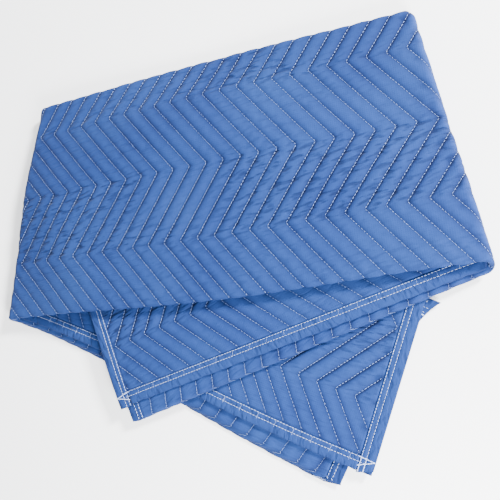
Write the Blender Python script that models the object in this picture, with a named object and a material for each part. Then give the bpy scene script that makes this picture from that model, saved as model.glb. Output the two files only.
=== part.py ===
# Quilted moving blanket, 1.77 m x 0.91 m, folded for storage.
#
# The blanket is first folded in three across its width, like a letter, which makes a strip
# of three layers. The strip is then folded in three along its length: one third (wing B) is
# turned under from the left, and the other (wing A) from the right. Both turns are a little
# askew, so the wings fan out from under the top third.
#
# Everything is modelled flat first. u runs along the blanket, v across it, and w through it,
# with the outer face of the cloth at +w. Then fold() takes every point to its folded place.

from math import ceil, cos, floor, pi, radians, sin, tan

import bmesh
import bpy

# ---- the flat blanket (metres) ----
LENGTH = 1.771
WIDTH = 0.914
PAD_THICK = 0.0026
EDGE_THICK = 0.0008            # the pad, pressed thin inside its binding
TAPE_THICK = 0.0006
TAPE_WIDTH = 0.019
TAPE_GAP = 0.0003              # between the pad and the tape around it
TAPE_TAB = 0.0015              # the side tapes run past the corners by this much
CORNER_CUT = 0.008             # the corner in view on wing B is cut off by this much
EDGE_RAMP = 0.0034             # beside the tape the pad swells to its full thickness

# ---- the first fold: three layers across the width ----
LAYER_PITCH = 0.0032
PANEL = 0.327                  # depth of the folded strip
HEM_SET_BACK_A = 0.003         # the end hem stops this far short of the near fold on wing A
HEM_SET_BACK_B = 0.002
REACH_A = 0.021                # how much further the near fold reaches at the end of a wing
REACH_B = 0.021
DRAW_IN_B = 0.008              # there the near fold's corner is drawn in by this much
SWAY_B = 0.016                 # and the whole end bends this far to the near side
SWAY_FROM = 0.2                # as shares of the wing's length, where that begins
SWAY_OVER = 0.7                # and how far it takes
TAB_OUT_B = 0.012              # the hidden hem's corner sticks out there by this much
TOP_BOW = 0.008                # bulge of the top third's near and far edges

BOTTOM_LEVEL = PAD_THICK / 2
MIDDLE_LEVEL = BOTTOM_LEVEL + LAYER_PITCH
TOP_LEVEL = MIDDLE_LEVEL + LAYER_PITCH

# ---- the second fold: two wings turned under the top third ----
SLAB = 2 * LAYER_PITCH + PAD_THICK
SLAB_GAP = 0.0020
LIFT = SLAB + SLAB_GAP
LEFT_LINE = 0.572              # fold line at the near edge, from the end of wing B
RIGHT_LINE = 1.238
LEFT_LEAN = radians(12.0)
RIGHT_LEAN = radians(7.6)
SLIDE_RIGHT = 0.009            # in the right bend the strip also slides to the near side
SLACK_LEFT = 0.022             # at its near end the bend's outer layer stands off by this much
SLACK_RIGHT = 0.003
LAG = 0.0156                   # the inner layer needs this much less cloth than the outer one
LAG_RUN = 0.040                # past the bend, over this distance, it is spread through a layer
FALL = 0.150                   # beside what it lies on, a slab comes down over this distance

# ---- where the layers begin and end across the blanket, from the hem that shows ----
FAR_RADIUS = LAYER_PITCH
NEAR_RADIUS = LAYER_PITCH / 2
FAR_CENTRE = PANEL - FAR_RADIUS - PAD_THICK / 2
NEAR_CENTRE = NEAR_RADIUS + PAD_THICK / 2
FAR_ARC = pi * (FAR_RADIUS + PAD_THICK / 4)
NEAR_ARC = pi * (NEAR_RADIUS + PAD_THICK / 4)
BOTTOM_END = FAR_CENTRE - HEM_SET_BACK_B
TOP_START = BOTTOM_END + FAR_ARC
TOP_END = TOP_START + FAR_CENTRE - NEAR_CENTRE
MIDDLE_START = TOP_END + NEAR_ARC

# ---- the bend in which the strip turns under ----
BEND_ARC = pi * (SLAB_GAP / 2 + SLAB)

# ---- quilting: parallel zigzag lines of stitches ----
LINE_PITCH = 0.0254
ZIG_ROW = 0.0972               # across the blanket, from one row of corners to the next
ZIG_STEP = 0.0757              # along the blanket, over that same distance
ZIG_PHASE = 0.0216             # along the blanket, from the end of wing B to the first line
ZIG_SHIFT = 0.0020             # the rows of corners are this far from the same in all layers
ZIG_FIRST = (FAR_CENTRE + TOP_START - HEM_SET_BACK_B - 5 * ZIG_ROW) / 2 + ZIG_SHIFT
STITCH_DEPTH = 0.0014

# ---- how finely the cloth is cut ----
ROWS_PER_ZIG = 2
TOP_COLUMNS = 14
ARC_CUTS = 4
BEND_CUTS = 6
SHOWN_BENDS = 3                # quilting shows this many cuts around the bend
UNDER_TOP = 0.070              # and this far under the edge of the top third

RIGHT, LEFT = 1, -1
LINE_AT = {RIGHT: RIGHT_LINE, LEFT: LEFT_LINE}
LEAN = {RIGHT: RIGHT_LEAN, LEFT: LEFT_LEAN}
SLACK = {RIGHT: SLACK_RIGHT, LEFT: SLACK_LEFT}
SLIDE = {RIGHT: SLIDE_RIGHT, LEFT: 0.0}
WING_COLUMNS = {RIGHT: 12, LEFT: 8}
WING_END = {RIGHT: LENGTH, LEFT: 0.0}

COLLECTION = "moving_blanket"
BLUE = (0.082, 0.168, 0.402, 1.0)
TAPE_BLUE = (0.094, 0.186, 0.430, 1.0)


def smooth(value):
    """0 below 0, 1 above 1, and an S-curve between."""
    value = min(max(value, 0.0), 1.0)
    return value * value * (3 - 2 * value)


# ---- the first fold ----

def wing_share(u, side):
    """How far along its wing a point is: 0 at the fold line, 1 at the end."""
    return min(max((u - LINE_AT[side]) / (WING_END[side] - LINE_AT[side]), 0.0), 1.0)


def near_reach(u):
    return REACH_A * wing_share(u, RIGHT) + REACH_B * wing_share(u, LEFT) ** 2


def sway(u):
    """How far wing B has bent to the near side."""
    return SWAY_B * smooth((wing_share(u, LEFT) - SWAY_FROM) / SWAY_OVER)


def top_share(u):
    """0 at the left fold line, 1 at the right one."""
    return min(max((u - LEFT_LINE) / (RIGHT_LINE - LEFT_LINE), 0.0), 1.0)


def strip(u, v, w):
    """The letter fold: a flat point's place along, across and above the folded strip, and the
    height of its layer, which is the same through the cloth but not in the two folds."""
    near_centre = NEAR_CENTRE - near_reach(u)
    pushed_out = 0.0
    if v <= BOTTOM_END:
        set_back = HEM_SET_BACK_B + (HEM_SET_BACK_A - HEM_SET_BACK_B) * top_share(u)
        y = set_back + v * (FAR_CENTRE - set_back) / BOTTOM_END
        height = BOTTOM_LEVEL - w
        level = BOTTOM_LEVEL
    elif v <= TOP_START:
        turn = pi * (v - BOTTOM_END) / FAR_ARC
        y = FAR_CENTRE + (FAR_RADIUS + w) * sin(turn)
        height = MIDDLE_LEVEL - (FAR_RADIUS + w) * cos(turn)
        level = MIDDLE_LEVEL - (FAR_RADIUS + w * sin(turn)) * cos(turn)
    elif v <= TOP_END:
        along = (v - TOP_START) / (TOP_END - TOP_START)
        y = FAR_CENTRE + (near_centre - FAR_CENTRE) * along
        height = TOP_LEVEL + w
        level = TOP_LEVEL
    elif v <= MIDDLE_START:
        turn = pi * (v - TOP_END) / NEAR_ARC
        y = near_centre - (NEAR_RADIUS + w) * sin(turn)
        height = MIDDLE_LEVEL + NEAR_RADIUS + (NEAR_RADIUS + w) * cos(turn)
        level = MIDDLE_LEVEL + NEAR_RADIUS + (NEAR_RADIUS + w * sin(turn)) * cos(turn)
    else:
        along = (v - MIDDLE_START) / (WIDTH - MIDDLE_START)
        y = near_centre + v - MIDDLE_START
        height = MIDDLE_LEVEL - w
        level = MIDDLE_LEVEL
        pushed_out = TAB_OUT_B * along * wing_share(u, LEFT)
    if v > TOP_START:
        pushed_out -= DRAW_IN_B * wing_share(u, LEFT) ** 2 * (1 - y / FAR_CENTRE)
    bow = TOP_BOW * sin(pi * top_share(u)) ** 2 * (1 - 2 * y / PANEL)
    return u - pushed_out, y - bow - sway(u), height, level


# ---- the second fold ----

def past_line(x, y, side):
    """How far a point of the strip lies past a fold line, and the foot of that distance."""
    out_x = side * cos(LEAN[side])
    out_y = sin(LEAN[side])
    past = (x - LINE_AT[side]) * out_x + y * out_y
    return past, (x - past * out_x, y - past * out_y), (out_x, out_y)


def slid(x, y, side, amount):
    """A place moved along a fold line to the near side."""
    return x + amount * side * sin(LEAN[side]), y - amount * cos(LEAN[side])


def past_wing(x, y, side):
    """How far a place is past the end, the near edge and the far edge of a turned wing."""
    past, foot, (out_x, out_y) = past_line(x, y, side)
    foot_x, foot_y = slid(*foot, side, -SLIDE[side])
    wing_u = foot_x + (BEND_ARC - past) * out_x
    wing_y = foot_y + (BEND_ARC - past) * out_y
    wing_y += sway(wing_u)
    return side * (wing_u - WING_END[side]), -near_reach(wing_u) - wing_y, wing_y - PANEL


def cover(x, y, side):
    """1 over the wing that is turned under on this side, falling to 0 beside it."""
    covered = 1.0
    for beyond in past_wing(x, y, side):
        covered *= smooth(1 - beyond / FALL)
    return covered


def wing_base(x, y, side):
    """Height of a wing's lower face: wing B lies on the ground, and wing A partly on it."""
    return LIFT * cover(x, y, LEFT) if side == RIGHT else 0.0


def top_base(x, y):
    return LIFT * (cover(x, y, LEFT) + cover(x, y, RIGHT))


def bend_arc(height):
    """How much of the strip a bend takes up at some height in it."""
    return BEND_ARC - LAG * (TOP_LEVEL - height) / (TOP_LEVEL - BOTTOM_LEVEL)


def turn_under(x, y, height, level):
    """The second fold, from the strip to the folded bundle."""
    for side in (RIGHT, LEFT):
        past, (foot_x, foot_y), (out_x, out_y) = past_line(x, y, side)
        slack_rate = SLACK[side] * max(1 - y / PANEL, 0.0) / SLAB
        slack = slack_rate * level
        past -= slack
        if past <= 0:
            continue
        arc = bend_arc(level)
        foot_x, foot_y = slid(foot_x + slack * out_x, foot_y + slack * out_y, side,
                              SLIDE[side] * smooth(past / arc))
        if past >= arc:
            beyond = past - arc
            lead = arc - bend_arc(height) + 2 * slack_rate * (level - height)
            beyond += lead * smooth(beyond / LAG_RUN)
            under_x = foot_x - beyond * out_x
            under_y = foot_y - beyond * out_y
            return under_x, under_y, wing_base(under_x, under_y, side) + SLAB - height
        above = top_base(foot_x, foot_y)
        below = wing_base(foot_x, foot_y, side) + SLAB
        turn = pi * past / arc
        radius = (above - below) / 2 + height
        out = radius * sin(turn)
        return foot_x + out * out_x, foot_y + out * out_y, (above + below) / 2 + radius * cos(turn)
    return x, y, top_base(x, y) + height


def fold(u, v, w):
    x, y, z = turn_under(*strip(u, v, w))
    return x, y, z


# ---- the flat pad ----

def layer_rows():
    """Cuts along the blanket, at the same depths of the strip in each of its three layers."""
    row = HEM_SET_BACK_B + ZIG_FIRST
    step = ZIG_ROW / ROWS_PER_ZIG
    first = row - step * floor((row - NEAR_CENTRE) / step)
    depths = [first + step * index for index in range(ceil((FAR_CENTRE - first) / step))]
    rows = [depth - HEM_SET_BACK_B for depth in depths]
    top_first = ZIG_FIRST + step * ceil((TOP_START - ZIG_FIRST) / step)
    rows += [top_first + step * index for index in range(floor((TOP_END - top_first) / step) + 1)]
    rows += [MIDDLE_START + depth - NEAR_CENTRE for depth in depths]
    inner_end = NEAR_CENTRE + WIDTH - MIDDLE_START
    for depth in (inner_end - TAPE_WIDTH, inner_end):
        rows += [depth - HEM_SET_BACK_B, TOP_START + FAR_CENTRE - depth]
    clear = TAPE_WIDTH + EDGE_RAMP + step / 4
    inside = [row for row in rows if clear < row < WIDTH - clear]
    arcs = [BOTTOM_END + FAR_ARC * index / ARC_CUTS for index in range(ARC_CUTS + 1)]
    arcs += [TOP_END + NEAR_ARC * index / ARC_CUTS for index in range(ARC_CUTS + 1)]
    edges = [TAPE_WIDTH, TAPE_WIDTH + 2 * TAPE_GAP, TAPE_WIDTH + 2 * TAPE_GAP + EDGE_RAMP]
    return inside + arcs + edges + [WIDTH - edge for edge in edges]


def cut(bm, faces, point, direction):
    """Cut flat faces along a line in the u, v plane."""
    edges = {edge for face in faces for edge in face.edges}
    verts = {vert for face in faces for vert in face.verts}
    normal = (direction[1], -direction[0], 0.0)
    bmesh.ops.bisect_plane(bm, geom=[*faces, *edges, *verts], dist=1e-6,
                           plane_co=(point[0], point[1], 0.0), plane_no=normal)


def faces_between(bm, low, high):
    """Faces that lie between two lines of constant v."""
    return [face for face in bm.faces if low < face.calc_center_median().y < high]


def cut_across(bm, line):
    """Cut all the layers along a line of the strip, given for the bottom, top and middle layers
    by its u at the far edge and at the near edge."""
    bottom, top, middle = line

    def u_at(depth, ends):
        far_u, near_u = ends
        return near_u + (far_u - near_u) * depth / PANEL

    corners = (
        (0.0, u_at(HEM_SET_BACK_B, bottom)),
        (BOTTOM_END, u_at(FAR_CENTRE, bottom)),
        (TOP_START, u_at(FAR_CENTRE, top)),
        (TOP_END, u_at(NEAR_CENTRE, top)),
        (MIDDLE_START, u_at(NEAR_CENTRE, middle)),
        (WIDTH, u_at(NEAR_CENTRE + WIDTH - MIDDLE_START, middle)),
    )
    for (low, start_u), (high, end_u) in zip(corners, corners[1:]):
        cut(bm, faces_between(bm, low, high), (start_u, low), (end_u - start_u, high - low))


def bend_line(side, bend):
    """A cut around a bend, from its first (0) to its last (BEND_CUTS)."""
    ends = []
    for level in (BOTTOM_LEVEL, TOP_LEVEL, MIDDLE_LEVEL):
        out = side * bend_arc(level) * bend / BEND_CUTS / cos(LEAN[side])
        near_u = LINE_AT[side] + out + side * SLACK[side] * level / SLAB
        ends.append((LINE_AT[side] + out - side * PANEL * tan(LEAN[side]), near_u))
    return ends


def cut_columns(bm):
    """Cuts across the strip: around both bends, and in even fans between and beyond them."""
    for side in (RIGHT, LEFT):
        for bend in range(BEND_CUTS + 1):
            cut_across(bm, bend_line(side, bend))
    spans = [(bend_line(LEFT, 0), bend_line(RIGHT, 0), TOP_COLUMNS)]
    spans += [(bend_line(side, BEND_CUTS), [(WING_END[side], WING_END[side])] * 3,
               WING_COLUMNS[side]) for side in (RIGHT, LEFT)]
    for first, last, count in spans:
        for index in range(1, count):
            share = index / count
            cut_across(bm, [(far + (last_far - far) * share, near + (last_near - near) * share)
                            for (far, near), (last_far, last_near) in zip(first, last)])
    for inset in (TAPE_WIDTH, TAPE_WIDTH + 2 * TAPE_GAP, TAPE_WIDTH + 2 * TAPE_GAP + EDGE_RAMP):
        for edge_u in (inset, LENGTH - inset):
            cut(bm, bm.faces[:], (edge_u, 0.0), (0.0, 1.0))


def is_outer(face):
    return face.calc_center_median().z > PAD_THICK / 4 and abs(face.normal.z) > 0.5


def shows(u, v):
    """Whether the outer face is in view there, on the folded blanket."""
    quilted = TAPE_WIDTH + 2 * TAPE_GAP + EDGE_RAMP
    if not (quilted < u < LENGTH - quilted and v > quilted):
        return False
    x, y, height, level = strip(u, v, PAD_THICK / 2)
    past = max(past_line(x, y, side)[0] for side in (RIGHT, LEFT))
    if BOTTOM_END < v < MIDDLE_START and past < BEND_ARC * SHOWN_BENDS / BEND_CUTS:
        return True
    if v > BOTTOM_END or past < BEND_ARC:
        return False
    side = RIGHT if u > RIGHT_LINE else LEFT
    under_x, under_y, under_z = turn_under(x, y, height, level)
    past_top = max(past_line(under_x, under_y, RIGHT)[0], past_line(under_x, under_y, LEFT)[0],
                   -under_y)
    past_cover = past_top
    if side == LEFT:
        past_cover = min(past_top, max(past_wing(under_x, under_y, RIGHT)))
    return past_cover > -UNDER_TOP


def zigzag(v):
    """How far along the blanket a line of stitches has moved at v."""
    rows = (v - ZIG_FIRST) / ZIG_ROW
    part = abs(rows % 2 - 1)
    return ZIG_PHASE + ZIG_STEP * part


def cut_quilting(bm, quilted):
    """Cut the quilted faces along every line of stitches, and midway between them."""
    first_row = floor(-ZIG_FIRST / ZIG_ROW)
    for row in range(first_row, ceil((WIDTH - ZIG_FIRST) / ZIG_ROW)):
        low = ZIG_FIRST + row * ZIG_ROW
        start, end = zigzag(low), zigzag(low + ZIG_ROW)
        for half_line in range(-2 * ceil(ZIG_STEP / LINE_PITCH) - 2, ceil(2 * LENGTH / LINE_PITCH)):
            offset = half_line * LINE_PITCH / 2
            left, right = sorted((start + offset, end + offset))
            faces = [face for face in bm.faces
                     if face[quilted] and low < face.calc_center_median().y < low + ZIG_ROW
                     and any(vert.co.x < right for vert in face.verts)
                     and any(vert.co.x > left for vert in face.verts)]
            if faces:
                cut(bm, faces, (start + offset, low), (end - start, ZIG_ROW))


def pad_half(u, v):
    """Half the pad's thickness: full, but thin inside the binding all round."""
    inset = min(u, LENGTH - u, v, WIDTH - v)
    rise = (inset - TAPE_WIDTH - 2 * TAPE_GAP) / EDGE_RAMP
    return (EDGE_THICK + (PAD_THICK - EDGE_THICK) * min(max(rise, 0.0), 1.0)) / 2


def stitch_dip(u, v):
    """The stitches draw the pad in, most along their own line."""
    lines = (u - zigzag(v)) / LINE_PITCH
    from_line = abs(lines - round(lines))
    return STITCH_DEPTH * (1 - 2 * from_line)


def flat_pad():
    bm = bmesh.new()
    bmesh.ops.create_cube(bm, size=1.0)
    bmesh.ops.scale(bm, vec=(LENGTH, WIDTH, PAD_THICK), verts=bm.verts)
    bmesh.ops.translate(bm, vec=(LENGTH / 2, WIDTH / 2, 0.0), verts=bm.verts)
    for row in layer_rows():
        cut(bm, bm.faces[:], (0.0, row), (1.0, 0.0))
    cut_columns(bm)
    quilted = bm.faces.layers.int.new("quilted")
    for face in bm.faces:
        centre = face.calc_center_median()
        face[quilted] = int(is_outer(face) and shows(centre.x, centre.y))
    cut_quilting(bm, quilted)
    bmesh.ops.triangulate(bm, faces=bm.faces)
    for vert in bm.verts:
        outer = vert.co.z > 0
        thick = pad_half(vert.co.x, vert.co.y)
        dips = outer and all(face[quilted] for face in vert.link_faces)
        vert.co.z = thick - stitch_dip(vert.co.x, vert.co.y) * dips if outer else -thick
        if vert.co.x + vert.co.y < TAPE_GAP:
            vert.co.y = CORNER_CUT
    return bm


# ---- the binding, a tape folded over the pad's edge ----

def flat_tape(pad, covers):
    """A tape over the pad's own border faces, lifted clear of them and given its thickness."""
    bm = pad.copy()
    outside = [face for face in bm.faces if not covers(*face.calc_center_median().xy, face)]
    bmesh.ops.delete(bm, geom=outside, context="FACES")
    bm.normal_update()
    lifted = [vert.co + vert.normal * vert.calc_shell_factor() * TAPE_GAP for vert in bm.verts]
    for vert, place in zip(bm.verts, lifted):
        vert.co = place
    bmesh.ops.solidify(bm, geom=bm.faces[:], thickness=-TAPE_THICK)
    bmesh.ops.triangulate(bm, faces=bm.faces)
    bmesh.ops.recalc_face_normals(bm, faces=bm.faces)
    return bm


def covers_end(v_low, v_high):
    first = TAPE_WIDTH + 2 * TAPE_GAP

    def covers(u, v, face):
        return v_low < v < v_high and first < u < LENGTH - first

    return covers


def covers_side(u_low, u_high):

    def covers(u, v, face):
        return u_low < u < u_high and abs(face.normal.y) < 0.5

    return covers


def draw_tabs(bm):
    """A side tape's ends run past the pad's corners."""
    for vert in bm.verts:
        if vert.co.y < TAPE_WIDTH / 2:
            vert.co.y -= TAPE_TAB
        elif vert.co.y > WIDTH - TAPE_WIDTH / 2:
            vert.co.y += TAPE_TAB


# ---- objects ----

def material(name, colour, roughness):
    result = bpy.data.materials.new(name)
    result.use_nodes = True
    shader = result.node_tree.nodes["Principled BSDF"]
    shader.inputs["Base Color"].default_value = colour
    shader.inputs["Roughness"].default_value = roughness
    return result


def folded_object(bm, name, look, collection, centre):
    for vert in bm.verts:
        x, y, z = fold(*vert.co)
        vert.co = (x - centre[0], y - centre[1], z)
    bmesh.ops.reverse_faces(bm, faces=bm.faces)  # fold() mirrors the cloth
    mesh = bpy.data.meshes.new(name)
    bm.to_mesh(mesh)
    bm.free()
    mesh.materials.append(look)
    collection.objects.link(bpy.data.objects.new(name, mesh))


def main():
    for thing in list(bpy.data.objects):
        bpy.data.objects.remove(thing)
    collection = bpy.data.collections.new(COLLECTION)
    bpy.context.scene.collection.children.link(collection)
    cloth = material("quilted_cloth", BLUE, 0.85)
    tape = material("binding_tape", TAPE_BLUE, 0.8)

    pad = flat_pad()
    covers = {
        "end_binding": covers_end(-TAPE_WIDTH, TAPE_WIDTH),
        "inner_end_binding": covers_end(WIDTH - TAPE_WIDTH, WIDTH + TAPE_WIDTH),
        "side_binding_a": covers_side(LENGTH - TAPE_WIDTH, LENGTH + TAPE_WIDTH),
        "side_binding_b": covers_side(-TAPE_WIDTH, TAPE_WIDTH),
    }
    tapes = {name: flat_tape(pad, test) for name, test in covers.items()}
    draw_tabs(tapes["side_binding_a"])
    draw_tabs(tapes["side_binding_b"])

    places = [fold(*vert.co) for bm in (pad, *tapes.values()) for vert in bm.verts]
    centre = [(min(axis) + max(axis)) / 2 for axis in list(zip(*places))[:2]]
    folded_object(pad, "pad", cloth, collection, centre)
    for name, bm in tapes.items():
        folded_object(bm, name, tape, collection, centre)


main()
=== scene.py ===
from math import ceil, cos, pi, radians, sin, tan

import bmesh
import bpy
import numpy as np
from mathutils import Euler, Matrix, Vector
from mathutils.bvhtree import BVHTree
from mathutils.kdtree import KDTree


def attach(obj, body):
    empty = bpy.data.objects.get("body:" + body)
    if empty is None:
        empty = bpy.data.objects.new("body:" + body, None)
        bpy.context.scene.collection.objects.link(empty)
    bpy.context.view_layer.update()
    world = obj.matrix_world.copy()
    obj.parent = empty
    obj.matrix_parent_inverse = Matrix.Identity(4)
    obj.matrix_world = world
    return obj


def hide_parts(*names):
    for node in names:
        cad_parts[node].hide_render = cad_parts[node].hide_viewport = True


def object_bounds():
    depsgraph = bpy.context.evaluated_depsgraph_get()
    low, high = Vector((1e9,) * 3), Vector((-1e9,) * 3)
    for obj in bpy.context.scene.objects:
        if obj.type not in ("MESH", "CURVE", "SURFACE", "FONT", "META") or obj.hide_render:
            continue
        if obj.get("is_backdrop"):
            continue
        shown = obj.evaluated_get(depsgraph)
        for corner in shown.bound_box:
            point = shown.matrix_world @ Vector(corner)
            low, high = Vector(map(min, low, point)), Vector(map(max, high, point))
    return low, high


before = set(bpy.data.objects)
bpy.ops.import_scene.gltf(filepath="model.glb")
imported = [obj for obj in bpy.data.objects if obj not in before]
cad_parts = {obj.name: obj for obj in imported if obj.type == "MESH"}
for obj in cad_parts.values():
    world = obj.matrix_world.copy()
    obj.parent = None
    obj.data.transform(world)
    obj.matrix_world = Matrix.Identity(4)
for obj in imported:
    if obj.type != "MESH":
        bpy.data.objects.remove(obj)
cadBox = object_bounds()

# A quilted moving blanket: folded in three across its width, then in three along its length.
# Each piece is made flat first: u runs along the blanket, v across it, and w through it with
# the outer face at +w. foldCloth() then takes its points to their folded places. Metres.
blanket = {
    "length": 1.771,
    "width": 0.914,
    "thick": 0.0026,
    "edgeThick": 0.0008,        # pressed thin inside the binding
    "swell": 0.0012,            # beside the binding it swells to full thickness over this
    "centre": (0.896957, 0.040828),  # of the bundle, before it is moved to the middle
}
letterFold = {
    "pitch": 0.0032,            # from one layer to the next
    "panel": 0.327,             # depth of the folded strip
    "setBackA": 0.003,          # from the near edge of the strip to the hem, at wing A
    "setBackB": 0.002,          # and at wing B
    "reachA": 0.021,            # the near fold reaches further out at the wings' ends
    "reachB": 0.021,
    "drawInB": 0.008,           # the upper layers are drawn in at the end of wing B
    "swayB": 0.016,             # wing B drifts towards the near side
    "swayFrom": 0.2,            # starting this share of the way along it
    "swayOver": 0.7,            # and ending this much further
    "tabOutB": 0.012,           # the hidden hem is pushed out at the end of wing B
    "cornerOutB": 0.019,        # and its corner further still, into view
    "cornerInB": 0.006,         # and towards the near fold
    "topBow": 0.008,            # both edges of the top third bow out
}
wingFold = {
    "gap": 0.0020,              # between a wing and what it is turned under
    "leftLine": 0.572,          # fold lines at the near edge, from the end of wing B
    "rightLine": 1.238,
    "leftLean": radians(12.0),  # how far the lines lean from square
    "rightLean": radians(7.6),
    "slideRight": 0.009,        # wing A slides along its line as it turns under
    "slackLeft": 0.022,         # the outer layers keep this much slack at the near edge
    "slackRight": 0.003,
    "lag": 0.0156,              # the inner layers turn on an arc this much shorter
    "lagRun": 0.040,            # which evens out over this distance
    "fall": 0.150,              # past a wing's edge, what lies on it comes down over this
}
quilting = {
    "pitch": 0.0254,            # between lines of stitches
    "row": 0.0972,              # across the blanket, from one row of corners to the next
    "step": 0.0757,             # along the blanket, over that distance
    "phase": 0.0216,            # from the end of the blanket to the first line
    "shift": 0.0020,            # of the rows of corners, past the middle of the far fold
    "square": 0.79,             # way square to a line, over the way along the blanket
    "slackLeg": 0.35,           # legs that lean the other way are pulled in this share as deep
    "steep": -0.3,              # past the near fold the lines lean back, at this rate
    "steepFrom": 0.655,         # from here across the blanket
    "steepFor": 0.030,
}

# The strip has three layers, bottom, middle and top, joined by the far and the near fold
right, left = 1, -1             # wing A, wing B
length, width = blanket["length"], blanket["width"]
half = blanket["thick"] / 2
panel = letterFold["panel"]
bottomLevel = half
middleLevel = bottomLevel + letterFold["pitch"]
topLevel = middleLevel + letterFold["pitch"]
slab = 2 * letterFold["pitch"] + blanket["thick"]
lift = slab + wingFold["gap"]
farRadius = letterFold["pitch"]
nearRadius = letterFold["pitch"] / 2
farCentre = panel - farRadius - half
nearCentre = nearRadius + half
farArc = pi * (farRadius + half / 2)
nearArc = pi * (nearRadius + half / 2)
bottomEnd = farCentre - letterFold["setBackB"]
topStart = bottomEnd + farArc
topEnd = topStart + farCentre - nearCentre
middleStart = topEnd + nearArc
bendArc = pi * (wingFold["gap"] / 2 + slab)
# The first row of corners: the middle of the far fold lies midway between two rows
zigFirst = (bottomEnd + topStart - 5 * quilting["row"]) / 2 + quilting["shift"]
lineAt = {right: wingFold["rightLine"], left: wingFold["leftLine"]}
lean = {right: wingFold["rightLean"], left: wingFold["leftLean"]}
slackAt = {right: wingFold["slackRight"], left: wingFold["slackLeft"]}
slideAt = {right: wingFold["slideRight"], left: 0.0}
wingEnd = {right: length, left: 0.0}


def smooth(value):
    value = np.clip(value, 0.0, 1.0)
    return value * value * (3 - 2 * value)


def wingShare(u, side):
    return np.clip((u - lineAt[side]) / (wingEnd[side] - lineAt[side]), 0.0, 1.0)


# How far the near fold reaches out beyond the strip
def nearReach(u):
    return letterFold["reachA"] * wingShare(u, right) + letterFold["reachB"] * wingShare(u, left) ** 2


def sway(u):
    drift = (wingShare(u, left) - letterFold["swayFrom"]) / letterFold["swayOver"]
    return letterFold["swayB"] * smooth(drift)


def topShare(u):
    return np.clip((u - lineAt[left]) / (lineAt[right] - lineAt[left]), 0.0, 1.0)


# The letter fold: the place along, across and above the strip, and the level of the sheet there
def strip(u, v, w):
    near = nearCentre - nearReach(u)
    moreAtA = letterFold["setBackA"] - letterFold["setBackB"]
    setBack = letterFold["setBackB"] + moreAtA * topShare(u)
    farTurn = pi * (v - bottomEnd) / farArc
    nearTurn = pi * (v - topEnd) / nearArc
    along = (v - topStart) / (topEnd - topStart)
    inner = (v - middleStart) / (width - middleStart)
    part = np.searchsorted((bottomEnd, topStart, topEnd, middleStart), v)
    y = np.choose(part, (
        setBack + v * (farCentre - setBack) / bottomEnd,
        farCentre + (farRadius + w) * np.sin(farTurn),
        farCentre + (near - farCentre) * along,
        near - (nearRadius + w) * np.sin(nearTurn),
        near + v - middleStart,
    ))
    height = np.choose(part, (
        bottomLevel - w,
        middleLevel - (farRadius + w) * np.cos(farTurn),
        topLevel + w,
        middleLevel + nearRadius + (nearRadius + w) * np.cos(nearTurn),
        middleLevel - w,
    ))
    level = np.choose(part, (
        bottomLevel + 0 * w,
        middleLevel - (farRadius + w * np.sin(farTurn)) * np.cos(farTurn),
        topLevel + 0 * w,
        middleLevel + nearRadius + (nearRadius + w * np.sin(nearTurn)) * np.cos(nearTurn),
        middleLevel + 0 * w,
    ))
    endB = wingShare(u, left)
    corner = inner ** 8         # 1 at the hidden hem's corner, and soon almost 0
    out = letterFold["tabOutB"] * inner + letterFold["cornerOutB"] * corner
    pushedOut = np.where(part == 4, out * endB, 0.0)
    y = y - np.where(part == 4, letterFold["cornerInB"] * corner * endB, 0.0)
    drawnIn = letterFold["drawInB"] * endB ** 2 * (1 - y / farCentre)
    pushedOut -= np.where(v > topStart, drawnIn, 0.0)
    bow = letterFold["topBow"] * np.sin(pi * topShare(u)) ** 2 * (1 - 2 * y / panel)
    return u - pushedOut, y - bow - sway(u), height, level


# How far past a fold line a place is, its foot on the line, and the direction outwards
def pastLine(x, y, side):
    outX, outY = side * cos(lean[side]), sin(lean[side])
    past = (x - lineAt[side]) * outX + y * outY
    return past, x - past * outX, y - past * outY, outX, outY


# A place that has slid along a fold line, towards the near edge
def slid(x, y, side, amount):
    return x + amount * side * sin(lean[side]), y - amount * cos(lean[side])


# How much of a place lies over the wing turned under on one side, from 1 down to 0
def cover(x, y, side):
    past, footX, footY, outX, outY = pastLine(x, y, side)
    footX, footY = slid(footX, footY, side, -slideAt[side])
    wingU = footX + (bendArc - past) * outX
    wingY = footY + (bendArc - past) * outY
    wingY = wingY + sway(wingU)
    covered = 1.0
    for beyond in (side * (wingU - wingEnd[side]), -nearReach(wingU) - wingY, wingY - panel):
        covered = covered * smooth(1 - beyond / wingFold["fall"])
    return covered


# The height that a wing comes to lie at: wing B on the floor, and wing A over wing B
def wingBase(x, y, side):
    return lift * cover(x, y, left) if side == right else 0.0 * x


# The height of the strip between the wings' bends: it lies on one wing, on both or on neither
def topBase(x, y):
    return lift * (cover(x, y, left) + cover(x, y, right))


# The way round a bend, for a layer at this height in the strip
def bendArcAt(height):
    return bendArc - wingFold["lag"] * (topLevel - height) / (topLevel - bottomLevel)


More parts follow.
